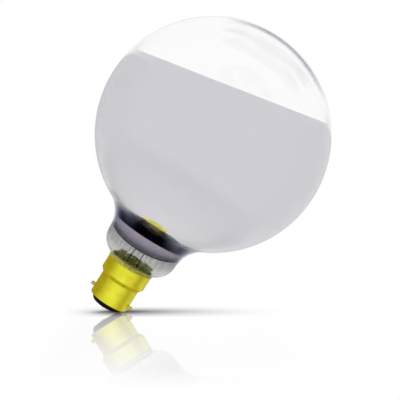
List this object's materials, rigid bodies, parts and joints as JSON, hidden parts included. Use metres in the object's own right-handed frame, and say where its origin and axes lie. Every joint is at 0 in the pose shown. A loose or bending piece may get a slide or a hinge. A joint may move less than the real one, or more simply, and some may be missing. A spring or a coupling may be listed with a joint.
{
  "type": "half mirrored globe lamp",
  "caption": "Globe filament lamp, mirrored inside up to a slanting edge above its equator, with a clear crown, a clear bowl under the neck and a brass bayonet cap.",
  "frame": {"origin": "where the axis of the two bayonet pins crosses the lamp axis", "axes": "+Z along the lamp axis from the cap to the globe's crown, X along the bayonet pins, Y across the contacts"},
  "size_m": [0.125, 0.125, 0.172],
  "materials": {
    "clear_glass": "clear polished soda glass",
    "mirror_film": "silvered inside, seen through the glass",
    "stem_glass": "clear stem glass",
    "copper_wire": "drawn copper wire",
    "nickel_wire": "drawn nickel wire",
    "molybdenum_wire": "drawn molybdenum wire",
    "tungsten": "coiled tungsten wire",
    "cement": "matt baked capping cement",
    "cap_brass": "satin yellow brass",
    "pin_brass": "turned brass",
    "black_glass": "opaque black cap glass",
    "contact_brass": "plain brass plate",
    "solder": "dull tin solder"
  },
  "bodies": {
    "root": {"glass_envelope": "clear_glass", "mirror_film": "mirror_film", "stem_flare": "stem_glass", "exhaust_tube": "stem_glass", "support_rod": "stem_glass", "outer_wire_front": "copper_wire", "outer_wire_back": "copper_wire", "seal_wire_front": "copper_wire", "seal_wire_back": "copper_wire", "inner_wire_front": "nickel_wire", "inner_wire_back": "nickel_wire", "support_wire_1": "molybdenum_wire", "support_wire_2": "molybdenum_wire", "support_wire_3": "molybdenum_wire", "filament": "tungsten", "capping_cement": "cement", "cap_shell": "cap_brass", "bayonet_pin_right": "pin_brass", "bayonet_pin_left": "pin_brass", "cap_insulator": "black_glass", "contact_plate_front": "contact_brass", "contact_plate_back": "contact_brass", "contact_solder_front": "solder", "contact_solder_back": "solder"}
  },
  "joints": []
}
